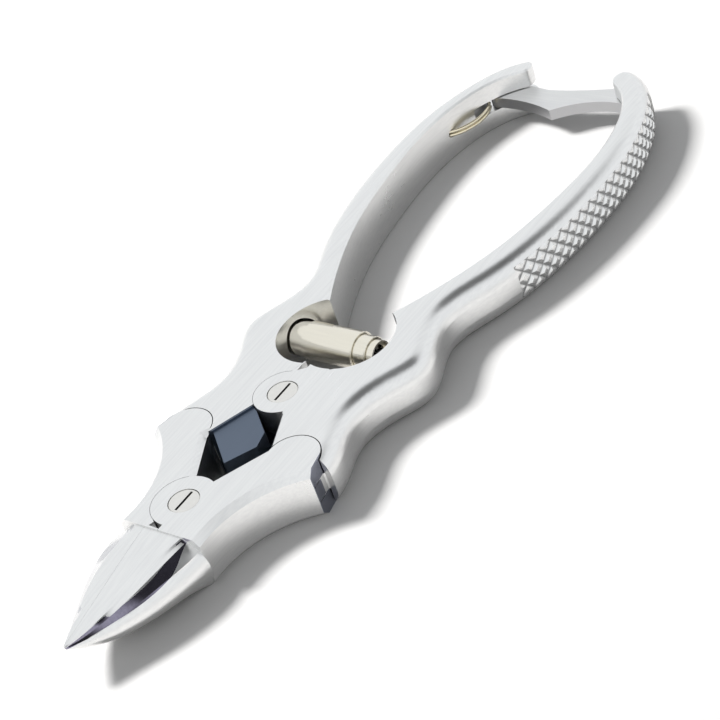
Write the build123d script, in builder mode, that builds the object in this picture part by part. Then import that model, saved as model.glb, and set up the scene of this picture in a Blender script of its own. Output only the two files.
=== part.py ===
from build123d import *
import math
import os

os.makedirs("parts", exist_ok=True)

# A double-action nail nipper lying flat: +X runs to the tip of the jaws, +Y to the near handle, +Z up.
# The origin is the middle of its footprint. Plan points are given as (ahead of the jaw pivot, out from
# the centre line), and the two sides of the tool share them.

# ---------------------------------------------------------------- driving dimensions (mm)
THICKNESS = 8.8              # jaws and handles, face to face
HALF_WIDTH = 21.6            # centre line to the widest point of a handle
JAW_PIVOT_X = 42.0           # front pivot, ahead of the middle of the tool
PIVOT_SPACING = 24.4         # front pivot to rear pivot
LINK_BACK = 13.1             # link pins, behind the front pivot
LINK_OUT = 10.4              # link pins, out from the centre line
BLADE_ROOT = 6.2             # where the blades start, ahead of the front pivot
BLADE_TIP = 28.0             # tip of the blades, ahead of the front pivot

JAW_DISC_R = 5.1
HANDLE_DISC_R = 4.66
EAR_R = 4.2                  # rounded end of a jaw's tail and of a handle's tongue
EAR_THICKNESS = 2.9          # each of the two ears of a jaw's tail
EAR_SEAM = 0.18              # groove between the ears where they meet beyond the tongue
WEB_TOP = 8.25               # web between the pivots, a little below the top face
NICK_DEPTH = 1.6
PIVOT_GAP = 0.06             # round a disc in its socket
FACE_GAP = 0.03              # between two faces that slide
LINK_GAP = 0.15              # round an ear or a tongue

HANDLE_ROUND = 3.0           # rounding of a handle's outer edges
FAR_END_R = 1.5              # corner at the end of the far handle
JAW_BEVEL = 1.05             # bevel along a jaw's outer edges
OPENING_BEVEL = 0.8          # bevel on the far jaw, round the opening between the pivots
FINE_EDGE = 0.3              # broken edges elsewhere

SCREW_HEAD_R = 2.42
SCREW_HEAD_H = 1.7
SCREW_SHANK_R = 1.7
SCREW_CLEARANCE = 0.1
SCREW_SLOT = 0.42
SCREW_SLOT_END = 0.45        # from the end of the slot to the edge of the head
SCREW_SLOT_DEPTH = 0.9
PIN_R = 1.3
PIN_CLEARANCE = 0.05

POCKET_R = 7.7               # round pocket for the spring, in each handle
BARREL_BACK = 40.0           # spring axis, behind the front pivot
BARREL_SEAT = 9.8            # where the spring is held, out from the centre line
OUTER_SLEEVE_R = 3.1
MIDDLE_SLEEVE_R = 2.72
GUIDE_TUBE_R = 2.34
COLLAR_R = 2.85              # closed end of the barrel
COLLAR_GAP = 0.35            # round it, for the barrel to turn in its recess
COLLAR_BORE_R = 2.2
SLEEVE_WALL = 0.32
SEAT_HOLE_R = 1.6
POST_R = 0.9
COIL_R = 1.3
COIL_WIRE_R = 0.3
COIL_TURNS = 11

LATCH_THICKNESS = 2.0
LATCH_GAP = 0.15             # above and below the latch in its slots
LATCH_HINGE_BACK = 106.5
LATCH_HINGE_OUT = 13.4
LATCH_PIN_R = 0.8
LATCH_PIN_COVER = 1.4        # steel left over the blind end of the pin's hole
LATCH_WIRE_R = 0.3

KNURL_DEPTH = 0.45           # band on the outside of a handle that the knurl is rolled into
KNURL_START = 61.0
KNURL_END = 108.5

POST_BURIED = 1.6            # length of a spring post inside its handle
NEAR_POST_LENGTH = 4.6       # length of the near one inside the guide tube and up to it
COLLAR_FROM = -11.2
COLLAR_LENGTH = 4.0
COLLAR_FLOOR = 1.0
OUTER_SLEEVE_LENGTH = 9.8
MIDDLE_SLEEVE_FROM = -6.0
MIDDLE_SLEEVE_LENGTH = 10.9
GUIDE_TUBE_FROM = -2.0
GUIDE_TUBE_LENGTH = 8.2
COIL_FROM = -9.0
COIL_LENGTH = 13.6

NEAR, FAR = 1, -1
MID = THICKNESS / 2
HANDLE_PIVOT_X = JAW_PIVOT_X - PIVOT_SPACING
EAR_TOP = THICKNESS - EAR_THICKNESS
LATCH_SLOT_Z = THICKNESS / 2 - LATCH_THICKNESS / 2 - LATCH_GAP
LATCH_SLOT_HEIGHT = LATCH_THICKNESS + 2 * LATCH_GAP
TONGUE_THICKNESS = THICKNESS - 2 * EAR_THICKNESS - 2 * FACE_GAP


def at(x, y, side=NEAR):
    """Plan point, x ahead of the jaw pivot and y out from the centre line on one side."""
    return (JAW_PIVOT_X + x, side * y)


def along(points, side):
    """The same for a list of points."""
    return [at(x, y, side) for x, y in points]


def polar(centre, radius, degrees):
    """Point on a circle round a plan point, in the same two coordinates."""
    turn = math.radians(degrees)
    return (centre[0] + radius * math.cos(turn), centre[1] + radius * math.sin(turn))


def barrel_plane(y):
    """Plane square to the barrel's axis, facing the near handle."""
    return Plane(origin=(JAW_PIVOT_X - BARREL_BACK, y, MID), z_dir=(0, 1, 0))


LINK = (-LINK_BACK, LINK_OUT)
REAR_PIVOT = (-PIVOT_SPACING, 0.0)

# Outside of a handle, from its shoulder round the hump and the grip to its end
HANDLE_OUTSIDE = [
    (-13.7, 16.1), (-17.5, 15.4), (-24.2, 13.4), (-31.0, 15.1), (-37.0, 17.5), (-42.5, 15.9),
    (-48.0, 14.3), (-56.0, 16.8), (-65.0, 19.6), (-74.0, 21.1), (-83.0, HALF_WIDTH), (-92.0, 21.2),
    (-99.0, 19.75), (-104.5, 17.8), (-108.9, 15.4), (-112.0, 12.4),
]
# Inside of a handle, from its hooked end to the corner of the spring pocket
HANDLE_INSIDE = [
    (-108.4, 8.8), (-104.2, 13.0), (-97.4, 15.8), (-88.0, 17.0), (-76.0, 16.2), (-64.4, 14.1),
    (-54.0, 10.5), (-44.9, 6.0),
]
OPENING_REAR = (-20.6, 2.9)       # where the opening between the pivots leaves the handle disc
OPENING_FRONT = (-4.76, 1.95)     # where it leaves the jaw disc
EAR_INNER = (-12.7, 6.3)          # where it leaves an ear
TAIL_CORNER = (-10.7, 15.2)       # square corner at the outer end of a jaw's tail
JAW_WAIST = (-4.6, 9.75)          # middle of the hollow curve from there to the blade
JAW_NECK = (BLADE_ROOT, 7.65)


def handle_face(side):
    """Plan of a handle without its disc and tongue."""
    socket_inner = polar(LINK, EAR_R + LINK_GAP, -94)
    socket_back = polar(LINK, EAR_R + LINK_GAP, 180)
    socket_outer = polar(LINK, EAR_R + LINK_GAP, 101)
    pocket_front = (-31.15, FACE_GAP)
    with BuildSketch() as plan:
        with BuildLine():
            Spline(along(HANDLE_OUTSIDE, side))
            ThreePointArc(*along([HANDLE_OUTSIDE[-1], (-111.6, 9.6), HANDLE_INSIDE[0]], side))
            Spline(along(HANDLE_INSIDE, side))
            ThreePointArc(*along([HANDLE_INSIDE[-1], (-38.5, 10.0), pocket_front], side))
            Polyline(*along([pocket_front, (-PIVOT_SPACING, FACE_GAP), OPENING_REAR, socket_inner], side))
            ThreePointArc(*along([socket_inner, socket_back, socket_outer], side))
            Line(*along([socket_outer, HANDLE_OUTSIDE[0]], side))
        make_face()
        if side == FAR:
            fillet(plan.vertices().sort_by_distance(at(*HANDLE_INSIDE[0], side))[0], FAR_END_R)
    return plan.sketch_local


def tongue_face(side):
    """Plan of a handle's tongue: a round end and the web that joins it to the handle."""
    with BuildSketch() as plan:
        with Locations(at(*LINK, side)):
            Circle(EAR_R)
        with BuildLine():
            Polyline(*along([polar(LINK, EAR_R, -94), polar(LINK, EAR_R + 1.5, -110),
                             polar(LINK, EAR_R + 1.5, 110), polar(LINK, EAR_R, 98)], side), close=True)
        make_face()
    return plan.sketch_local


def heel_face(side, gap):
    """Plan of the small heel of a handle's disc that closes the seam behind the rear pivot."""
    with BuildSketch() as plan:
        with BuildLine():
            Polyline(*along([(-31.6, 0.5), (-31.6, -0.75 - gap), (-28.6, -1.6 - gap), REAR_PIVOT,
                             (-27.0, 0.5)], side), close=True)
        make_face()
    return plan.sketch_local


def web_face():
    """Plan of the far handle's web in the opening between the pivots."""
    with BuildSketch() as plan:
        with BuildLine():
            Polyline(*along([(-24, -1.0), (-20.4, -2.4), (-16.4, 2.4), (-13.4, 3.2), (-8.9, 0.4), (-14.2, -6.0),
                             (-21, -6)], NEAR), close=True)
        make_face()
    return plan.sketch_local


def jaw_face(side):
    """Plan of a jaw behind its blade, without its disc."""
    ear_outer = polar(LINK, EAR_R, 95)
    ear_back = polar(LINK, EAR_R, 180)
    ear_inner = polar(LINK, EAR_R, -86)
    with BuildSketch() as plan:
        with BuildLine():
            ThreePointArc(*along([ear_inner, ear_back, ear_outer], side))
            Line(*along([ear_outer, TAIL_CORNER], side))
            ThreePointArc(*along([TAIL_CORNER, JAW_WAIST, JAW_NECK], side))
            Polyline(*along([JAW_NECK, (BLADE_ROOT, FACE_GAP), (0, FACE_GAP), OPENING_FRONT, ear_inner], side))
        make_face()
    return plan.sketch_local


def opening_face():
    """Plan of the opening between the two pivots."""
    with BuildSketch() as plan:
        with BuildLine():
            half = [(-5.4, 0), (-4.9, 2.0), EAR_INNER, (-20.2, 3.0), (-19.3, 1.5)]
            Polyline(*along(half, NEAR), *along(reversed(half[1:]), FAR), close=True)
        make_face()
    return plan.sketch_local


def blade_section(top, inner, facet, widest, chine, bottom):
    """Half of the cross-section of the closed blades, from the top of the seam to its bottom."""
    with BuildSketch() as plan:
        with BuildLine():
            Line((0, bottom), (0, top))
            Line((0, top), (inner, top - 0.02))
            Line((inner, top - 0.02), facet)
            Spline(facet, widest, chine)
            Line(chine, (0, bottom))
        make_face()
    return plan.sketch_local


# Cross-sections of a blade: ahead of the pivot, height of the top, outer limit of the top face, then (out, up)
# of the facet's lower edge, of the widest point and of the lower edge, and height of the bottom
BLADE_SECTIONS = [
    (BLADE_ROOT, 8.55, 4.4, (5.3, 8.15), (8.1, 4.9), (6.6, 0.05), 0.05),
    (12.9, 8.1, 4.7, (6.6, 7.25), (7.55, 4.9), (4.9, 1.5), 1.2),
    (17.6, 7.75, 3.95, (5.4, 6.75), (6.05, 4.8), (3.8, 2.2), 1.75),
    (23.0, 7.35, 1.75, (2.95, 6.5), (3.45, 5.2), (2.2, 3.6), 3.2),
    (BLADE_TIP, 7.05, 0.12, (0.24, 6.95), (0.3, 6.75), (0.2, 6.5), 6.4),
]
SEAM = Plane(origin=(JAW_PIVOT_X + BLADE_ROOT, 0, 4.35),
             x_dir=(BLADE_TIP - BLADE_ROOT, 0, 2.4),
             z_dir=Vector(BLADE_TIP - BLADE_ROOT, 0, 2.4).cross(Vector(0, -2.8, 4.25)).normalized() * -1)


def lap_halves(side):
    """Heights of the lower and upper half of a lap joint, the half with the disc first."""
    upper = (MID, THICKNESS)
    lower = (0, MID)
    return (upper, lower) if side == NEAR else (lower, upper)



# ---------------------------------------------------------------- handles
def long_rims(body):
    """Curved edges of a handle's flat faces, shortest first."""
    return body.edges().filter_by(GeomType.BSPLINE).filter_by(Plane.XY).sort_by(lambda e: e.length)


def handle_body(side):
    """Everything that the two handles share: body, disc, socket, tongue, spring pocket, knurl band."""
    disc_half, socket_half = lap_halves(side)
    with BuildPart() as body:
        with BuildSketch():
            add(handle_face(side))
        extrude(amount=THICKNESS)
        fillet(long_rims(body)[-2:], HANDLE_ROUND)
        chamfer(long_rims(body)[:2], FINE_EDGE)
        # tongue between the jaw's ears
        with BuildSketch(Plane.XY.offset(EAR_THICKNESS + FACE_GAP)):
            add(tongue_face(side))
        extrude(amount=TONGUE_THICKNESS)
        with Locations((*at(*LINK, side), MID)):
            Hole(PIN_R + PIN_CLEARANCE)
        # half-lap joint at the rear pivot
        with BuildSketch(Plane.XY.offset(socket_half[0])):
            with Locations(at(*REAR_PIVOT)):
                Circle(HANDLE_DISC_R + PIVOT_GAP)
            add(heel_face(-side, FACE_GAP))
        extrude(amount=MID, mode=Mode.SUBTRACT)
        with BuildSketch(Plane.XY.offset(disc_half[0] + (FACE_GAP if side == NEAR else 0))):
            with Locations(at(*REAR_PIVOT)):
                Circle(HANDLE_DISC_R)
            add(heel_face(side, 0))
        extrude(amount=MID - FACE_GAP)
        with BuildSketch():
            with Locations(at(-38.5, 2.3, side)):
                Circle(POCKET_R)
        extrude(amount=THICKNESS, mode=Mode.SUBTRACT)
        # flat band for the knurl
        with BuildSketch():
            with BuildLine():
                outside = Spline(along([(x, y - KNURL_DEPTH) for x, y in HANDLE_OUTSIDE], side))
                Polyline(outside @ 1, at(-125, 30, side), at(0, 30, side), outside @ 0)
            make_face()
            with Locations(at(-(KNURL_START + KNURL_END) / 2, 20, side)):
                Rectangle(KNURL_END - KNURL_START, 24, mode=Mode.INTERSECT)
        extrude(amount=THICKNESS, mode=Mode.SUBTRACT)
    return body.part


with BuildPart() as near_handle:
    add(handle_body(NEAR))
    with Locations((HANDLE_PIVOT_X, 0, THICKNESS)):
        CounterBoreHole(SCREW_SHANK_R + SCREW_CLEARANCE, SCREW_HEAD_R + SCREW_CLEARANCE / 2, SCREW_HEAD_H)
    # slot that the end of the latch hooks into, open to the inside and to the rear
    with BuildSketch(Plane.XY.offset(LATCH_SLOT_Z)):
        with BuildLine():
            Polyline(*along([(-106.7, 4), (-106.7, 11.0), (-105.4, 12.3), (-105.6, 13.9), (-107.6, 14.2),
                             (-108.6, 13.6), (-114, 8.4), (-114, 4)], NEAR), close=True)
        make_face()
    extrude(amount=LATCH_SLOT_HEIGHT, mode=Mode.SUBTRACT)
    with BuildSketch(barrel_plane(BARREL_SEAT - 1)):
        Circle(POST_R)
    extrude(amount=POST_BURIED + 1, mode=Mode.SUBTRACT)
    # fine bevel along the opening, and two small nicks in the rim of the spring pocket
    with BuildSketch(Plane.XY.offset(THICKNESS - FINE_EDGE)):
        add(opening_face())
    extrude(amount=FINE_EDGE, taper=-45, mode=Mode.SUBTRACT)
    with BuildSketch(Plane.XY.offset(THICKNESS - NICK_DEPTH)):
        with BuildLine():
            Polyline(*along([(-32.6, 2.0), (-31.5, 2.4), (-30.8, 4.4), (-31.2, 5.0), (-32.6, 5.0)], NEAR), close=True)
        make_face()
        with BuildLine():
            Polyline(*along([(-31.6, -0.7), (-30.5, -0.8), (-29.2, -0.75), (-30.3, 0.5), (-31.6, 0.5)], NEAR),
                     close=True)
        make_face()
    extrude(amount=NICK_DEPTH, mode=Mode.SUBTRACT)
near_handle.part.label = "near_handle"
export_step(near_handle.part, "parts/near_handle.step")

with BuildPart() as far_handle:
    add(handle_body(FAR))
    # web that fills the opening between the pivots and stops the near handle at full opening
    with BuildSketch(Plane.XY.offset(EAR_THICKNESS + FACE_GAP)):
        add(web_face())
    extrude(amount=MID - EAR_THICKNESS - 2 * FACE_GAP)
    with BuildSketch(Plane.XY.offset(MID - FACE_GAP)):
        add(web_face())
        with Locations(at(*REAR_PIVOT)):
            Circle(HANDLE_DISC_R + LINK_GAP, mode=Mode.SUBTRACT)
    extrude(amount=WEB_TOP - MID + FACE_GAP)
    with Locations((HANDLE_PIVOT_X, 0, 0)):
        Hole(SCREW_SHANK_R)
    # slot for the latch, open to the inside and to the rear
    with BuildSketch(Plane.XY.offset(LATCH_SLOT_Z)):
        with BuildLine():
            Polyline(*along([(-99.8, 5), (-99.8, 15.3), (-104.8, 15.9), (-106, 20), (-114, 20), (-114, 5)], FAR),
                     close=True)
        make_face()
    extrude(amount=LATCH_SLOT_HEIGHT, mode=Mode.SUBTRACT)
    with BuildSketch(Plane.XY.offset(-1)):
        with Locations(at(-LATCH_HINGE_BACK, LATCH_HINGE_OUT, FAR)):
            Circle(LATCH_PIN_R)
    extrude(amount=THICKNESS + 1 - LATCH_PIN_COVER, mode=Mode.SUBTRACT)
    # recess that the closed end of the barrel turns in, and the hole for its post
    with BuildSketch(barrel_plane(-BARREL_SEAT - 2.5)):
        Circle(COLLAR_R + COLLAR_GAP)
    extrude(amount=4, mode=Mode.SUBTRACT)
    with BuildSketch(barrel_plane(-BARREL_SEAT - 2.5 - POST_BURIED)):
        Circle(POST_R)
    extrude(amount=POST_BURIED + 1, mode=Mode.SUBTRACT)
    # hole for the end of the latch spring
    with BuildSketch(Plane(origin=(*at(-93.4, 19.2, FAR), MID), z_dir=(-0.35, 0.94, 0))):
        Circle(2.4 * LATCH_WIRE_R)
    extrude(amount=4, mode=Mode.SUBTRACT)
far_handle.part.label = "far_handle"
export_step(far_handle.part, "parts/far_handle.step")


# ---------------------------------------------------------------- jaws
def jaw_body(side):
    """Everything that the two jaws share: body, disc, socket, forked tail and blade."""
    disc_half, socket_half = lap_halves(side)
    with BuildPart() as body:
        with BuildSketch():
            add(jaw_face(side))
        extrude(amount=THICKNESS)
        rims = body.edges().filter_by(GeomType.CIRCLE).filter_by(Plane.XY)
        chamfer(rims.filter_by(lambda e: e.radius > 2 * EAR_R), JAW_BEVEL)
        # half-lap joint at the front pivot
        with BuildSketch(Plane.XY.offset(socket_half[0])):
            with Locations(at(0, 0)):
                Circle(JAW_DISC_R + PIVOT_GAP)
        extrude(amount=MID, mode=Mode.SUBTRACT)
        with BuildSketch(Plane.XY.offset(disc_half[0] + (FACE_GAP if side == NEAR else 0))):
            with Locations(at(0, 0)):
                Circle(JAW_DISC_R)
        extrude(amount=MID - FACE_GAP)
        # blade, cut from the closed pair along the slanting seam
        with BuildPart(mode=Mode.PRIVATE) as pair:
            for ahead, *outline in BLADE_SECTIONS:
                with BuildSketch(Plane(origin=(JAW_PIVOT_X + ahead, 0, 0), x_dir=(0, 1, 0), z_dir=(1, 0, 0))):
                    half = blade_section(*outline)
                    add(half)
                    mirror(half, about=Plane.YZ)
            loft()
            split(bisect_by=SEAM.offset(side * FACE_GAP / 2), keep=Keep.TOP if side == NEAR else Keep.BOTTOM)
        add(pair.part)
        # fork for the handle's tongue
        with BuildSketch(Plane.XY.offset(EAR_THICKNESS)):
            with Locations(at(*LINK, side)):
                Circle(EAR_R + LINK_GAP)
            with Locations(at(-20.1, LINK_OUT, side)):
                Rectangle(14, 14)
        extrude(amount=THICKNESS - 2 * EAR_THICKNESS, mode=Mode.SUBTRACT)
        # seams across the end of the tail
        for height in (EAR_THICKNESS, EAR_TOP - EAR_SEAM):
            with BuildSketch(Plane.XY.offset(height)):
                with Locations(at(-12.8, 15.2, side)):
                    Rectangle(3.8, 2.6)
            extrude(amount=EAR_SEAM, mode=Mode.SUBTRACT)
        with Locations((*at(*LINK, side), MID)):
            Hole(PIN_R)
    return body.part


with BuildPart() as near_jaw:
    add(jaw_body(NEAR))
    with Locations((JAW_PIVOT_X, 0, THICKNESS)):
        CounterBoreHole(SCREW_SHANK_R + SCREW_CLEARANCE, SCREW_HEAD_R + SCREW_CLEARANCE / 2, SCREW_HEAD_H)
near_jaw.part.label = "near_jaw"
export_step(near_jaw.part, "parts/near_jaw.step")

with BuildPart() as far_jaw:
    add(jaw_body(FAR))
    # bevel along the opening, and a small nick where the disc, the seam and the blade meet
    with BuildSketch(Plane.XY.offset(THICKNESS - OPENING_BEVEL)):
        add(opening_face())
    extrude(amount=OPENING_BEVEL, taper=-45, mode=Mode.SUBTRACT)
    with BuildSketch(Plane.XY.offset(THICKNESS - NICK_DEPTH)):
        with BuildLine():
            Polyline(*along([(3.9, -3.4), (5.0, -1.7), (5.85, -2.0), (5.95, 0.2), (4.5, 0.2)], NEAR), close=True)
        make_face()
    extrude(amount=NICK_DEPTH, mode=Mode.SUBTRACT)
    with Locations((JAW_PIVOT_X, 0, 0)):
        Hole(SCREW_SHANK_R)
far_jaw.part.label = "far_jaw"
export_step(far_jaw.part, "parts/far_jaw.step")


# ---------------------------------------------------------------- pivots
def pivot_screw(centre_x):
    """Slotted screw, head flush in the near part, shank through to the bottom face."""
    head_bottom = THICKNESS - SCREW_HEAD_H + FACE_GAP
    with BuildPart() as screw:
        with BuildSketch(Plane.XY.offset(0.1)):
            with Locations((centre_x, 0)):
                Circle(SCREW_SHANK_R)
        extrude(amount=head_bottom - 0.1)
        with BuildSketch(Plane.XY.offset(head_bottom)):
            with Locations((centre_x, 0)):
                Circle(SCREW_HEAD_R)
        extrude(amount=SCREW_HEAD_H - 2 * FACE_GAP)
        chamfer(screw.edges().group_by(Axis.Z)[-1], 0.12)
        with Locations((centre_x, 0, THICKNESS)):
            Box(2 * (SCREW_HEAD_R - SCREW_SLOT_END), SCREW_SLOT, 2 * SCREW_SLOT_DEPTH, mode=Mode.SUBTRACT)
    return screw.part


def link_pin(side):
    """Plain pin through the ears and the tongue, ground flush with both faces."""
    with BuildPart() as pin:
        with BuildSketch():
            with Locations(at(*LINK, side)):
                Circle(PIN_R)
        extrude(amount=THICKNESS)
    return pin.part


with BuildPart() as jaw_pivot_screw:
    add(pivot_screw(JAW_PIVOT_X))
jaw_pivot_screw.part.label = "jaw_pivot_screw"
export_step(jaw_pivot_screw.part, "parts/jaw_pivot_screw.step")

with BuildPart() as handle_pivot_screw:
    add(pivot_screw(HANDLE_PIVOT_X))
handle_pivot_screw.part.label = "handle_pivot_screw"
export_step(handle_pivot_screw.part, "parts/handle_pivot_screw.step")

with BuildPart() as near_link_pin:
    add(link_pin(NEAR))
near_link_pin.part.label = "near_link_pin"
export_step(near_link_pin.part, "parts/near_link_pin.step")

with BuildPart() as far_link_pin:
    add(link_pin(FAR))
far_link_pin.part.label = "far_link_pin"
export_step(far_link_pin.part, "parts/far_link_pin.step")

# ---------------------------------------------------------------- barrel spring
with BuildPart() as spring_outer_sleeve:
    with BuildSketch(barrel_plane(COLLAR_FROM + COLLAR_LENGTH)):
        Circle(OUTER_SLEEVE_R)
        Circle(OUTER_SLEEVE_R - SLEEVE_WALL, mode=Mode.SUBTRACT)
    extrude(amount=OUTER_SLEEVE_LENGTH)
    chamfer(spring_outer_sleeve.edges().group_by(Axis.Y)[-1].sort_by(lambda e: e.radius)[-1], 0.12)
spring_outer_sleeve.part.label = "spring_outer_sleeve"
export_step(spring_outer_sleeve.part, "parts/spring_outer_sleeve.step")

with BuildPart() as spring_end_cap:
    with BuildSketch(barrel_plane(COLLAR_FROM)):
        Circle(COLLAR_R)
    extrude(amount=COLLAR_LENGTH)
    chamfer(spring_end_cap.edges().group_by(Axis.Y)[0], 0.4)
    with BuildSketch(barrel_plane(COLLAR_FROM + COLLAR_LENGTH)):
        Circle(OUTER_SLEEVE_R - SLEEVE_WALL)
    extrude(amount=1.0)
    with BuildSketch(barrel_plane(COLLAR_FROM)):
        Circle(SEAT_HOLE_R)
    extrude(amount=COLLAR_FLOOR, mode=Mode.SUBTRACT)
    with BuildSketch(barrel_plane(COLLAR_FROM + COLLAR_FLOOR)):
        Circle(COLLAR_BORE_R)
    extrude(amount=COLLAR_LENGTH + 1.0, mode=Mode.SUBTRACT)
spring_end_cap.part.label = "spring_end_cap"
export_step(spring_end_cap.part, "parts/spring_end_cap.step")

with BuildPart() as spring_middle_sleeve:
    with BuildSketch(barrel_plane(MIDDLE_SLEEVE_FROM)):
        Circle(MIDDLE_SLEEVE_R)
        Circle(MIDDLE_SLEEVE_R - SLEEVE_WALL, mode=Mode.SUBTRACT)
    extrude(amount=MIDDLE_SLEEVE_LENGTH)
    chamfer(spring_middle_sleeve.edges().group_by(Axis.Y)[-1].sort_by(lambda e: e.radius)[-1], 0.12)
spring_middle_sleeve.part.label = "spring_middle_sleeve"
export_step(spring_middle_sleeve.part, "parts/spring_middle_sleeve.step")

with BuildPart() as spring_guide_tube:
    with BuildSketch(barrel_plane(GUIDE_TUBE_FROM)):
        Circle(GUIDE_TUBE_R)
        Circle(GUIDE_TUBE_R - SLEEVE_WALL, mode=Mode.SUBTRACT)
    extrude(amount=GUIDE_TUBE_LENGTH)
    with BuildSketch(barrel_plane(GUIDE_TUBE_FROM + GUIDE_TUBE_LENGTH - 1.2)):
        Circle(GUIDE_TUBE_R - SLEEVE_WALL / 2)
        Circle(SEAT_HOLE_R, mode=Mode.SUBTRACT)
    extrude(amount=0.6)
spring_guide_tube.part.label = "spring_guide_tube"
export_step(spring_guide_tube.part, "parts/spring_guide_tube.step")

with BuildPart() as barrel_spring:
    with BuildLine():
        coil = Helix(pitch=COIL_LENGTH / COIL_TURNS, height=COIL_LENGTH, radius=COIL_R,
                     center=(*at(-BARREL_BACK, COIL_FROM), MID), direction=(0, 1, 0))
    with BuildSketch(Plane(origin=coil @ 0, z_dir=coil % 0)):
        RegularPolygon(COIL_WIRE_R, 8)
    sweep(is_frenet=True)
barrel_spring.part.label = "barrel_spring"
export_step(barrel_spring.part, "parts/barrel_spring.step")

with BuildPart() as far_spring_post:
    with BuildSketch(barrel_plane(-BARREL_SEAT - 2.5 - POST_BURIED)):
        Circle(POST_R)
    extrude(amount=POST_BURIED + 1.9)
    chamfer(far_spring_post.edges().group_by(Axis.Y)[-1], 0.3)
far_spring_post.part.label = "far_spring_post"
export_step(far_spring_post.part, "parts/far_spring_post.step")

with BuildPart() as near_spring_post:
    with BuildSketch(barrel_plane(BARREL_SEAT - NEAR_POST_LENGTH)):
        Circle(POST_R)
    extrude(amount=NEAR_POST_LENGTH + POST_BURIED)
    chamfer(near_spring_post.edges().group_by(Axis.Y)[0], 0.3)
near_spring_post.part.label = "near_spring_post"
export_step(near_spring_post.part, "parts/near_spring_post.step")

# ---------------------------------------------------------------- latch
with BuildPart() as latch_bar:
    with BuildSketch(Plane.XY.offset(MID - LATCH_THICKNESS / 2)):
        with BuildLine():
            ThreePointArc(*along([(-104.3, -13.0), (-104.2, -7.0), (-102.7, -1.3)], NEAR))
            ThreePointArc(*along([(-102.7, -1.3), (-105.3, 2.3), (-107.05, 8.6)], NEAR))
            Polyline(*along([(-107.05, 8.6), (-107.05, 11.1), (-105.75, 12.4), (-105.95, 13.3), (-107.5, 13.7),
                             (-108.6, 13.0), (-110.7, 10.6), (-110.9, 7.1)], NEAR))
            ThreePointArc(*along([(-110.9, 7.1), (-109.2, 1.0), (-108.3, -4.6)], NEAR))
            Polyline(*along([(-108.3, -4.6), (-108.8, -8.6), (-108.7, -13.0), (-104.3, -13.0)], NEAR))
        make_face()
        with Locations(at(-LATCH_HINGE_BACK, LATCH_HINGE_OUT, FAR)):
            Circle(2.25)
            Circle(LATCH_PIN_R + 0.04, mode=Mode.SUBTRACT)
    extrude(amount=LATCH_THICKNESS)
latch_bar.part.label = "latch_bar"
export_step(latch_bar.part, "parts/latch_bar.step")

with BuildPart() as latch_pin:
    with BuildSketch(Plane.XY.offset(0.5)):
        with Locations(at(-LATCH_HINGE_BACK, LATCH_HINGE_OUT, FAR)):
            Circle(LATCH_PIN_R)
    extrude(amount=THICKNESS - 0.5 - LATCH_PIN_COVER)
latch_pin.part.label = "latch_pin"
export_step(latch_pin.part, "parts/latch_pin.step")

with BuildPart() as latch_spring:
    for height in (MID - 1.15 * LATCH_WIRE_R, MID + 1.15 * LATCH_WIRE_R):
        with BuildLine(Plane.XY.offset(height)) as strand:
            Spline(along([(-93.6, 18.6), (-94.6, 16.2), (-97.2, 14.3), (-100.6, 13.6), (-103.5, 14.4)], FAR))
        with BuildSketch(Plane(origin=strand.line @ 0, z_dir=strand.line % 0)):
            Circle(LATCH_WIRE_R)
        sweep(path=strand.line)
latch_spring.part.label = "latch_spring"
export_step(latch_spring.part, "parts/latch_spring.step")
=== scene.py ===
import math

import bmesh
import bpy
from bpy.props import FloatProperty, FloatVectorProperty, IntProperty, PointerProperty
from mathutils import Matrix, Vector
from mathutils.bvhtree import BVHTree


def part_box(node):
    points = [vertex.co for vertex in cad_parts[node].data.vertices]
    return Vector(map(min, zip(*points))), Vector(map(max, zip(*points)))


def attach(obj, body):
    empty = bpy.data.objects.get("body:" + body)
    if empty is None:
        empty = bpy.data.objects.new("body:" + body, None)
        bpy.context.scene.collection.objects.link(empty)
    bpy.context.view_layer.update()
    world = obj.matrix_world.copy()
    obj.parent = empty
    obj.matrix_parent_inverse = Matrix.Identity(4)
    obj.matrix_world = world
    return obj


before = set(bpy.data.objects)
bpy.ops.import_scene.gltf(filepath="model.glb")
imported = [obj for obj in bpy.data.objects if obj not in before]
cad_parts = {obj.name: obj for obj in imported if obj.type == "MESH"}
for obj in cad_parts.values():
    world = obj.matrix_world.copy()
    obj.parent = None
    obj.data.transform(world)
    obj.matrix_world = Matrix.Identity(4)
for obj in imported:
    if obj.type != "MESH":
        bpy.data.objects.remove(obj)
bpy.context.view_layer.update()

bl_info = {
    "name": "Nail nipper finishes",
    "version": (1, 0, 0),
    "blender": (4, 5, 0),
    "location": "View3D > Sidebar > Nail Nipper",
    "description": "Finishes, knurled grip bands, floor, lights and camera for a double-action nail nipper",
    "category": "Object",
}

MM = 0.001
SIDES = {"near": 1, "far": -1}
GAP_TOWARDS = (-0.25, 0.20, 0.94)     # dark patch in the ceiling
GAP_DARKNESS = 0.93
GAP_OUTER = 0.87                      # cosine of the angle from its middle to where it starts
GAP_INNER = 0.95                      # and to where it is fully dark
KEY_FROM = (0.10, -0.35, 0.45)

# Where painted shade goes on the recessed web, from the rear pivot and from the top face
WEB_AHEAD = 3.5 * MM
WEB_OUT = 6.1 * MM
WEB_BELOW = 0.3 * MM

# The blades' tops and honed facets, where the facets' painted reflection goes, ahead of the front pivot and
# down from the jaws' top face
BLADE_ROOT = 6.2 * MM
BLADE_STEP = 0.25 * MM
BLADE_SLOPE = 0.070
FACET_START = 6.25 * MM
FACET_EDGE = 0.11 * MM
FACET_DEPTH = 1.0 * MM
FACET_MIDDLE = 17 * MM
FACET_HALF_LENGTH = 14.6 * MM
FACET_TILT = 0.94                     # steepest upward part of a normal that counts as facet
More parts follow.
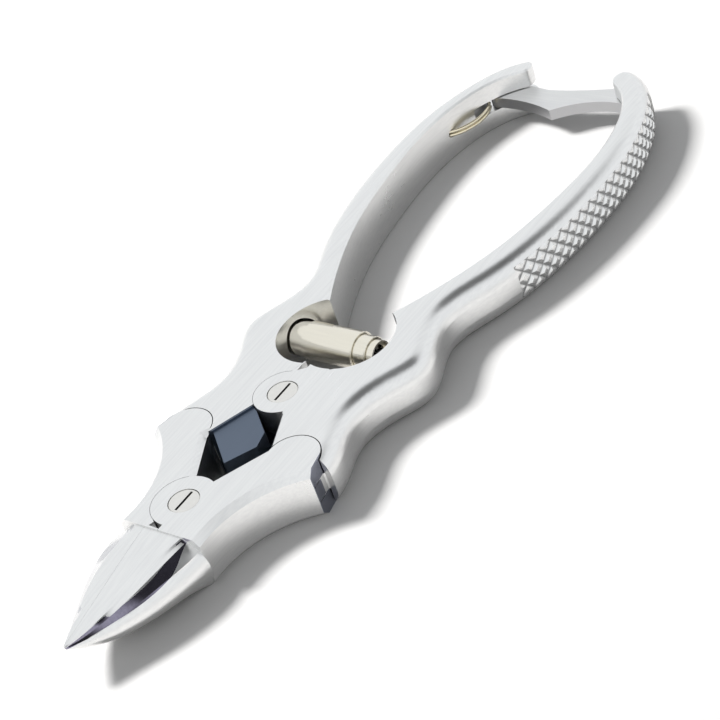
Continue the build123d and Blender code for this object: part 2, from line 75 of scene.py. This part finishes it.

# The plane beyond which a tail's end gets its dark colour (unground scale and painted shade), by its normal
# and its distance from the front pivot
TAIL_NORMAL = (-0.22, 0.976)
TAIL_PLANE = 17.12 * MM

# Depths in a screw's slot that get painted shade
SLOT_TOP = 0.4 * MM
SLOT_BOTTOM = 1.1 * MM

# The knurl
KNURL_BURIED = 0.2 * MM
KNURL_CREST = 1.7                     # how soon a diamond reaches its full height
KNURL_ENDS = 12                       # how soon the band reaches it from its ends
RAY_OUT = 0.05                        # start of the rays that find the handle's wall, from the middle
RAY_UP = 0.7                          # their height, as a share of the band's


# ---------------------------------------------------------------- shader maths
class Link:
    """A value or colour in a node tree. Arithmetic on it adds Math nodes."""

    def __init__(self, tree, socket):
        self.tree = tree
        self.socket = socket

    def node(self, kind, inputs, output=0, **settings):
        """Adds a node, sets it up, feeds its sockets and returns one of its outputs."""
        made = self.tree.nodes.new(kind)
        for name, value in settings.items():
            setattr(made, name, value)
        for key, value in inputs.items():
            if isinstance(value, Link):
                self.tree.links.new(value.socket, made.inputs[key])
            else:
                made.inputs[key].default_value = value
        return Link(self.tree, made.outputs[output])

    def maths(self, operation, first, second=0.0, clamp=False):
        return self.node("ShaderNodeMath", {0: first, 1: second}, operation=operation, use_clamp=clamp)

    def __add__(self, other):
        return self.maths("ADD", self, other)

    def __radd__(self, other):
        return self.maths("ADD", other, self)

    def __sub__(self, other):
        return self.maths("SUBTRACT", self, other)

    def __rsub__(self, other):
        return self.maths("SUBTRACT", other, self)

    def __mul__(self, other):
        return self.maths("MULTIPLY", self, other)

    def __rmul__(self, other):
        return self.maths("MULTIPLY", other, self)

    def __truediv__(self, other):
        return self.maths("DIVIDE", self, other)

    def __gt__(self, other):
        return self.maths("GREATER_THAN", self, other)

    def __lt__(self, other):
        return self.maths("LESS_THAN", self, other)

    def __abs__(self):
        return self.maths("ABSOLUTE", self)

    def ramp(self, low, high):
        """0 below low, 1 above high, straight between them."""
        return self.node("ShaderNodeMapRange", {"Value": self, "From Min": low, "From Max": high})

    def mixed(self, first, second):
        """first where this is 0, second where it is 1."""
        return self.node("ShaderNodeMix", {0: self, 6: first, 7: second}, output=2, data_type="RGBA")


def rgba(colour, gain=1.0):
    return (*(min(1.0, c * gain) for c in colour), 1.0)


class Finish:
    """A metal finish in the making: its material and shader, and the place on the piece and its tilt."""

    def __init__(self, name):
        self.material = bpy.data.materials.new(name)
        self.material.use_nodes = True
        self.tree = self.material.node_tree
        self.shader = self.tree.nodes["Principled BSDF"]
        self.shader.inputs["Metallic"].default_value = 1.0
        start = Link(self.tree, None)
        self.place = start.node("ShaderNodeTexCoord", {}, output="Object")
        facing = start.node("ShaderNodeTexCoord", {}, output="Normal")
        self.tilt = facing.node("ShaderNodeSeparateXYZ", {0: facing}, output=2)
        self.x, self.y, self.z = (
            self.place.node("ShaderNodeSeparateXYZ", {0: self.place}, output=i) for i in range(3))

    def grain(self, scale, detail=3.0, stretch=(1, 1, 1)):
        """Noise from 0 to 1, stretched along the piece."""
        turned = self.place.node("ShaderNodeMapping", {"Vector": self.place, "Scale": stretch})
        return self.place.node("ShaderNodeTexNoise", {"Vector": turned, "Scale": scale, "Detail": detail})

    def set(self, socket, value):
        if isinstance(value, Link):
            self.tree.links.new(value.socket, self.shader.inputs[socket])
        else:
            self.shader.inputs[socket].default_value = value

    def bump(self, height, depth):
        """Roughens the surface by height, at most depth metres."""
        bumped = height.node("ShaderNodeBump", {"Height": height, "Distance": depth, "Strength": 1.0})
        self.set("Normal", bumped)


# ---------------------------------------------------------------- sizes and colours
class SteelSettings(bpy.types.PropertyGroup):
    steel: FloatVectorProperty(name="Steel", description="Colour of the satin steel", subtype="COLOR",
                               min=0, max=1, default=(0.79, 0.79, 0.78))
    shade: FloatVectorProperty(name="Brush marks", description="Colour in the brush marks", subtype="COLOR",
                               min=0, max=1, default=(0.62, 0.62, 0.63))
    # The web's dark blue-grey colour is painted shade of the recess between the pivots.
    shaded_web: FloatVectorProperty(name="Unground web", description="Colour of the web between the pivots",
                             subtype="COLOR", min=0, max=1, default=(0.13, 0.16, 0.21))
    # The facet colour is a painted dark reflection of the ceiling, not the steel's own colour.
    facet: FloatVectorProperty(name="Honed facet", description="Colour of the near blade's honed facet",
                               subtype="COLOR", min=0, max=1, default=(0.32, 0.30, 0.39))
    # The tail ends' colour is partly unground scale, partly painted shade of the deep gap beside the handles'
    # shoulders.
    end: FloatVectorProperty(name="Tail ends", description="Colour of the unground ends of the jaws' tails",
                             subtype="COLOR", min=0, max=1, default=(0.24, 0.25, 0.30))
    roughness: FloatProperty(name="Roughness", description="Roughness of the satin steel", subtype="FACTOR",
                             min=0, max=1, default=0.28)
    screw: FloatVectorProperty(name="Screws", description="Colour of the turned screws", subtype="COLOR",
                               min=0, max=1, default=(0.78, 0.765, 0.73))
    nickel: FloatVectorProperty(name="Nickel", description="Colour of the spring barrel", subtype="COLOR",
                                min=0, max=1, default=(0.80, 0.76, 0.66))
    wire: FloatVectorProperty(name="Wire", description="Colour of the latch's spring wire", subtype="COLOR",
                              min=0, max=1, default=(0.83, 0.76, 0.58))


class KnurlSettings(bpy.types.PropertyGroup):
    pitch: FloatProperty(name="Pitch", description="Length of one diamond along the handle", unit="LENGTH",
                         default=2.6 * MM)
    rows: FloatProperty(name="Rows", description="Diamonds across the band", default=2.2)
    depth: FloatProperty(name="Depth", description="Height of the diamonds over their grooves", unit="LENGTH",
                         default=0.45 * MM)
    rounding: FloatProperty(name="Rounding", description="Radius of the handle's outer edges", unit="LENGTH",
                            default=3.0 * MM)
    start: FloatProperty(name="Front end", description="Front end of the band, along the tool", unit="LENGTH",
                         default=-19.1 * MM)
    end: FloatProperty(name="Rear end", description="Rear end of the band, along the tool", unit="LENGTH",
                       default=-66.2 * MM)
    slot: FloatProperty(name="Latch slot", description="Rear end of the band on the handle with the latch",
                        unit="LENGTH", default=-63.6 * MM)
    steps: IntProperty(name="Steps", description="Mesh steps in one diamond", default=20)


class StageSettings(bpy.types.PropertyGroup):
    floor: FloatVectorProperty(name="Floor", description="Colour of the floor", subtype="COLOR",
                               min=0, max=1, default=(0.37, 0.365, 0.36))
    sky: FloatProperty(name="Sky", description="Strength of the even light from all round", default=1.06)
    key: FloatProperty(name="Key light", description="Power of the soft light that throws the shadows",
                       unit="POWER", default=10.5)
    eye: FloatVectorProperty(name="Camera", description="Place of the camera", subtype="TRANSLATION",
                             default=(0.1840, 0.2016, 0.2000))
    aim: FloatVectorProperty(name="Aim", description="Point in the middle of the view", subtype="TRANSLATION",
                             default=(0.0039, 0.0034, 0.0044))
    roll: FloatProperty(name="Roll", description="Turn of the camera about its own line of sight",
                        subtype="ANGLE", default=math.radians(-20.3))
    lens: FloatProperty(name="Lens", description="Focal length in millimetres", default=109.0)


# ---------------------------------------------------------------- finishes
def satin_steel(name, settings):
    """Brushed stainless steel, with the brush marks running along the tool."""
    finish = Finish(name)
    cloud = finish.grain(90.0)
    brush = finish.grain(2600.0, stretch=(0.035, 1, 1))
    speck = finish.grain(9000.0, detail=2.0)
    marks = brush.ramp(0.35, 0.75)
    finish.colour = (marks * 0.35).mixed(rgba(settings.steel), rgba(settings.shade))
    finish.rough = settings.roughness - 0.06 + cloud * 0.10 + brush * 0.06
    finish.relief = brush * 0.6 + speck * 0.4
    return finish


def close(finish, depth=3e-6):
    """Joins the parts of a finish to its shader."""
    finish.set("Base Color", finish.colour)
    finish.set("Roughness", finish.rough)
    finish.bump(finish.relief, depth)
    return finish.material


def middle_of(name):
    """Middle of a CAD node's box."""
    low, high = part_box(name)
    return (low + high) / 2


def web_steel(settings):
    """Satin steel, with painted shade on the recessed web in the opening between the pivots."""
    finish = satin_steel("web_steel", settings)
    pivot = middle_of("handle_pivot_screw")
    ahead = finish.x > pivot.x + WEB_AHEAD
    below = finish.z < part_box("far_handle")[1].z - WEB_BELOW
    inside = finish.y > pivot.y - WEB_OUT
    # Painted shade: the web below the top face, between the pivots, gets the dark colour; its rougher matte
    # is kept.
    shaded_web = ahead * below * inside
    finish.colour = shaded_web.mixed(finish.colour, rgba(settings.shaded_web))
    finish.rough = finish.rough + shaded_web * 0.12
    return close(finish)


def blade_steel(settings):
    """Satin steel, with a painted dark reflection on the honed facets along the blades' outer top edges (the
    far blade's in the lighter brush-mark colour), and the ends of the tails darkened as unground scale and
    painted shade of the deep gap.
    """
    finish = satin_steel("blade_steel", settings)
    ahead = finish.x - middle_of("jaw_pivot_screw").x
    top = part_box("near_jaw")[1].z - BLADE_STEP
    fall = top - (ahead - BLADE_ROOT) * BLADE_SLOPE - finish.z
    reach = (ahead - FACET_MIDDLE) / FACET_HALF_LENGTH
    deepest = (1.0 - reach * reach) * FACET_DEPTH
    facet = (ahead > FACET_START) * (fall > FACET_EDGE) * (fall < deepest) * (finish.tilt < FACET_TILT)
    shaded_tail_end = abs(finish.y) * TAIL_NORMAL[1] + ahead * TAIL_NORMAL[0] > TAIL_PLANE
    # Painted reflection: the near blade's facet is darkened as if mirroring a dark ceiling, the far blade's
    # gets the lighter brush-mark colour.
    mottled = finish.grain(2200.0).mixed(rgba(settings.facet), rgba(settings.facet, 0.55))
    honed_with_painted_reflection = (finish.y > 0.0).mixed(rgba(settings.shade), mottled)
    finish.colour = facet.mixed(finish.colour, honed_with_painted_reflection)
    # Partly unground scale, partly painted shade of the deep gap at the tail ends.
    finish.colour = shaded_tail_end.mixed(finish.colour, rgba(settings.end))
    finish.rough = finish.rough - facet * 0.16
    return close(finish)


def screw_steel(settings):
    """Turned steel, with painted shade at the bottom of the slot."""
    finish = satin_steel("screw_steel", settings)
    turned = finish.grain(1500.0).mixed(rgba(settings.screw), rgba(settings.screw, 0.9))
    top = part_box("jaw_pivot_screw")[1].z
    slot = (finish.z < top - SLOT_TOP) * (finish.z > top - SLOT_BOTTOM)
    # Painted shade in the slot's depths.
    finish.colour = slot.mixed(turned, rgba(settings.screw, 0.12))
    return close(finish)


def polished_nickel(settings):
    """Bright plating with faint drawing marks along the tubes."""
    finish = Finish("polished_nickel")
    drawn = finish.grain(3000.0, stretch=(1, 0.04, 1))
    finish.colour = (drawn * 0.4).mixed(rgba(settings.nickel), rgba(settings.nickel, 0.8))
    finish.rough = 0.13 + finish.grain(400.0) * 0.08
    finish.relief = drawn
    return close(finish, 1e-6)


def spring_wire(settings):
    """Bright drawn wire."""
    finish = Finish("spring_wire")
    finish.colour = (finish.grain(2500.0) * 0.5).mixed(rgba(settings.wire), rgba(settings.wire, 0.75))
    finish.rough = 0.18 + finish.grain(900.0) * 0.08
    finish.relief = finish.grain(5000.0)
    return close(finish, 1e-6)


def spring_steel(settings):
    """Dark drawn steel of the hidden spring and its posts."""
    finish = Finish("spring_steel")
    finish.colour = finish.grain(2500.0).mixed(rgba(settings.shade, 0.7), rgba(settings.shade, 0.5))
    finish.rough = 0.32 + finish.grain(900.0) * 0.1
    finish.relief = finish.grain(5000.0)
    return close(finish, 1e-6)


def latch_steel(settings):
    """Ground flat steel, with painted shade on its steep side faces, and the grinding marks across the tool.
    """
    finish = Finish("latch_steel")
    ground = finish.grain(2600.0, stretch=(1, 0.04, 1))
    flat = (ground.ramp(0.35, 0.75) * 0.5).mixed(rgba(settings.steel, 0.92), rgba(settings.shade))
    # Painted shade: faces turned away from the top get the darker colour.
    finish.colour = (finish.tilt < 0.5).mixed(flat, rgba(settings.shade, 0.75))
    finish.rough = 0.30 + finish.grain(150.0) * 0.12
    finish.relief = ground
    return close(finish, 3e-6)


def knurl_steel(settings):
    """Satin steel with painted shade in the grooves and rubbed crests."""
    finish = satin_steel("knurl_steel", settings)
    crest = finish.place.node("ShaderNodeAttribute", {}, output="Fac", attribute_name="crest")
    painted_groove_shade = 1 - crest.ramp(0.05, 0.4)
    # Painted shade: the low parts between the diamonds get a darker colour.
    finish.colour = (painted_groove_shade * 0.9).mixed(finish.colour, rgba(settings.shade, 0.3))
    finish.rough = finish.rough + painted_groove_shade * 0.1 - crest.ramp(0.85, 1.0) * 0.08
    return close(finish)


def dress(material, *names):
    """Gives CAD nodes a finish."""
    for name in names:
        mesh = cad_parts[name].data
        mesh.materials.clear()
        mesh.materials.append(material)


# ---------------------------------------------------------------- operators
class NIPPER_OT_handles(bpy.types.Operator):
    """Finish the two handles and their link pins"""

    bl_idname = "nipper.handles"
    bl_label = "Handles"

    def execute(self, context):
        settings = context.scene.nipper_steel
        dress(web_steel(settings), "far_handle")
        plain = close(satin_steel("handle_steel", settings))
        dress(plain, "near_handle", "near_link_pin", "far_link_pin", "latch_pin")
        return {"FINISHED"}


class NIPPER_OT_jaws(bpy.types.Operator):
    """Finish the two jaws and their honed facets"""

    bl_idname = "nipper.jaws"
    bl_label = "Jaws"

    def execute(self, context):
        dress(blade_steel(context.scene.nipper_steel), "near_jaw", "far_jaw")
        return {"FINISHED"}


class NIPPER_OT_pivots(bpy.types.Operator):
    """Finish the two slotted pivot screws"""

    bl_idname = "nipper.pivots"
    bl_label = "Pivot Screws"

    def execute(self, context):
        dress(screw_steel(context.scene.nipper_steel), "jaw_pivot_screw", "handle_pivot_screw")
        return {"FINISHED"}


class NIPPER_OT_barrel(bpy.types.Operator):
    """Finish the spring barrel, its coil and its posts"""

    bl_idname = "nipper.barrel"
    bl_label = "Spring Barrel"

    def execute(self, context):
        settings = context.scene.nipper_steel
        nickel = polished_nickel(settings)
        dress(nickel, "spring_outer_sleeve", "spring_middle_sleeve", "spring_guide_tube", "spring_end_cap")
        dress(spring_steel(settings), "barrel_spring", "far_spring_post", "near_spring_post")
        return {"FINISHED"}


class NIPPER_OT_latch(bpy.types.Operator):
    """Finish the locking bar and its wire spring"""

    bl_idname = "nipper.latch"
    bl_label = "Latch"

    def execute(self, context):
        settings = context.scene.nipper_steel
        dress(latch_steel(settings), "latch_bar")
        dress(spring_wire(settings), "latch_spring")
        return {"FINISHED"}


def triangle_wave(turns):
    """1 half way between whole numbers, 0 on them."""
    return 1 - abs(2 * (turns % 1) - 1)


def knurl_band(side_name, settings):
    """A closed strip of raised diamonds on the outside of one handle."""
    side = SIDES[side_name]
    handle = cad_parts[side_name + "_handle"]
    tree = BVHTree.FromObject(handle, bpy.context.evaluated_depsgraph_get())
    low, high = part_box(handle.name)
    middle = (low.z + high.z) / 2
    flat = middle - settings.rounding
    half_height = flat + math.sqrt(settings.rounding ** 2 - (settings.rounding - settings.depth) ** 2)
    length = settings.start - (settings.end if side_name == "near" else settings.slot)
    columns = round(length / settings.pitch) * settings.steps
    band = bmesh.new()
    layer = band.verts.layers.float.new("crest")
    bmesh.ops.create_grid(band, x_segments=columns, y_segments=3 * settings.steps, size=1)
    lifted = bmesh.ops.extrude_face_region(band, geom=band.faces[:], use_keep_orig=True)
    crests = {v for v in lifted["geom"] if isinstance(v, bmesh.types.BMVert)}
    for v in band.verts:
        along, up = v.co.x, v.co.y
        x = settings.start - (along + 1) / 2 * length
        height = up * half_height
        outside = Vector((x, side * RAY_OUT, middle + RAY_UP * half_height))
        wall = tree.ray_cast(outside, Vector((0, -side, 0)))[0]
        ridge = max(0.0, abs(height) - flat)
        room = settings.depth - settings.rounding + math.sqrt(settings.rounding ** 2 - ridge ** 2)
        turns = (settings.start - x) / settings.pitch
        slant = up * settings.rows / 2
        diamond = min(triangle_wave(turns + slant), triangle_wave(turns - slant))
        crest = min(1.0, KNURL_CREST * diamond)
        ends = min(1.0, KNURL_ENDS * (1 - abs(along)))
        v[layer] = crest
        rise = crest * ends * max(0.0, room) if v in crests else -KNURL_BURIED
        v.co = Vector((x, wall.y + side * rise, middle + height))
    bmesh.ops.recalc_face_normals(band, faces=band.faces[:])
    mesh = bpy.data.meshes.new(side_name + "_knurl")
    band.to_mesh(mesh)
    band.free()
    return bpy.data.objects.new(side_name + "_knurl", mesh)


class NIPPER_OT_knurl(bpy.types.Operator):
    """Add the knurled band on the outside of each handle"""

    bl_idname = "nipper.knurl"
    bl_label = "Knurled Bands"

    def execute(self, context):
        steel = knurl_steel(context.scene.nipper_steel)
        for side_name in SIDES:
            band = knurl_band(side_name, context.scene.nipper_knurl)
            context.collection.objects.link(band)
            band.data.materials.append(steel)
            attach(band, side_name + "_handle")
        return {"FINISHED"}


def key_light(power):
    """A large square light from the far side, which the metal doesn't mirror."""
    light = bpy.data.lights.new("key", "AREA")
    light.size = 0.14
    light.energy = power
    lamp = bpy.data.objects.new("key", light)
    lamp.location = KEY_FROM
    lamp.rotation_euler = (-lamp.location).to_track_quat("-Z", "Y").to_euler()
    lamp.visible_glossy = False
    bpy.context.collection.objects.link(lamp)


def studio_air(settings):
    """Even light from all round, with a dark patch in the ceiling."""
    world = bpy.data.worlds.new("studio")
    world.use_nodes = True
    tree = world.node_tree
    toward = Link(tree, None).node("ShaderNodeTexCoord", {}, output="Generated")
    nearness = toward.node("ShaderNodeVectorMath", {0: toward, 1: Vector(GAP_TOWARDS).normalized()},
                           output="Value", operation="DOT_PRODUCT")
    strength = settings.sky * (1 - GAP_DARKNESS * nearness.ramp(GAP_OUTER, GAP_INNER))
    tree.links.new(strength.socket, tree.nodes["Background"].inputs["Strength"])
    tree.nodes["Background"].inputs["Color"].default_value = (0.96, 0.98, 1, 1)
    return world


class NIPPER_OT_stage(bpy.types.Operator):
    """Add the floor, the lights and the camera"""

    bl_idname = "nipper.stage"
    bl_label = "Stage"

    def execute(self, context):
        settings = context.scene.nipper_stage
        plane = bmesh.new()
        bmesh.ops.create_grid(plane, x_segments=1, y_segments=1, size=3.0)
        mesh = bpy.data.meshes.new("floor")
        plane.to_mesh(mesh)
        plane.free()
        floor = bpy.data.objects.new("floor", mesh)
        context.collection.objects.link(floor)
        paper = bpy.data.materials.new("paper")
        paper.use_nodes = True
        shader = paper.node_tree.nodes["Principled BSDF"]
        shader.inputs["Base Color"].default_value = rgba(settings.floor)
        shader.inputs["Roughness"].default_value = 0.9
        mesh.materials.append(paper)

        context.scene.view_settings.view_transform = "Standard"
        context.scene.world = studio_air(settings)
        key_light(settings.key)

        camera = bpy.data.objects.new("camera", bpy.data.cameras.new("camera"))
        camera.data.lens = settings.lens
        camera.data.clip_start = 0.01
        look = (Vector(settings.aim) - Vector(settings.eye)).to_track_quat("-Z", "Y").to_matrix().to_4x4()
        camera.matrix_world = Matrix.Translation(settings.eye) @ look @ Matrix.Rotation(settings.roll, 4, "Z")
        context.collection.objects.link(camera)
        context.scene.camera = camera
        return {"FINISHED"}


class NIPPER_PT_panel(bpy.types.Panel):
    """Buttons for each step"""

    bl_idname = "NIPPER_PT_panel"
    bl_label = "Nail Nipper"
    bl_space_type = "VIEW_3D"
    bl_region_type = "UI"
    bl_category = "Nail Nipper"

    def draw(self, context):
        for step in STEPS:
            self.layout.operator(step.bl_idname)


SETTINGS = {"nipper_steel": SteelSettings, "nipper_knurl": KnurlSettings, "nipper_stage": StageSettings}
STEPS = (NIPPER_OT_handles, NIPPER_OT_jaws, NIPPER_OT_pivots, NIPPER_OT_barrel, NIPPER_OT_latch,
         NIPPER_OT_knurl, NIPPER_OT_stage)


def register():
    for name, group in SETTINGS.items():
        bpy.utils.register_class(group)
        setattr(bpy.types.Scene, name, PointerProperty(type=group))
    for step in (*STEPS, NIPPER_PT_panel):
        bpy.utils.register_class(step)


def unregister():
    for step in (NIPPER_PT_panel, *reversed(STEPS)):
        bpy.utils.unregister_class(step)
    for name, group in SETTINGS.items():
        delattr(bpy.types.Scene, name)
        bpy.utils.unregister_class(group)


def main():
    register()
    bpy.ops.nipper.handles()
    bpy.ops.nipper.jaws()
    bpy.ops.nipper.pivots()
    bpy.ops.nipper.barrel()
    bpy.ops.nipper.latch()
    bpy.ops.nipper.knurl()
    bpy.ops.nipper.stage()


if __name__ == "__main__":
    main()
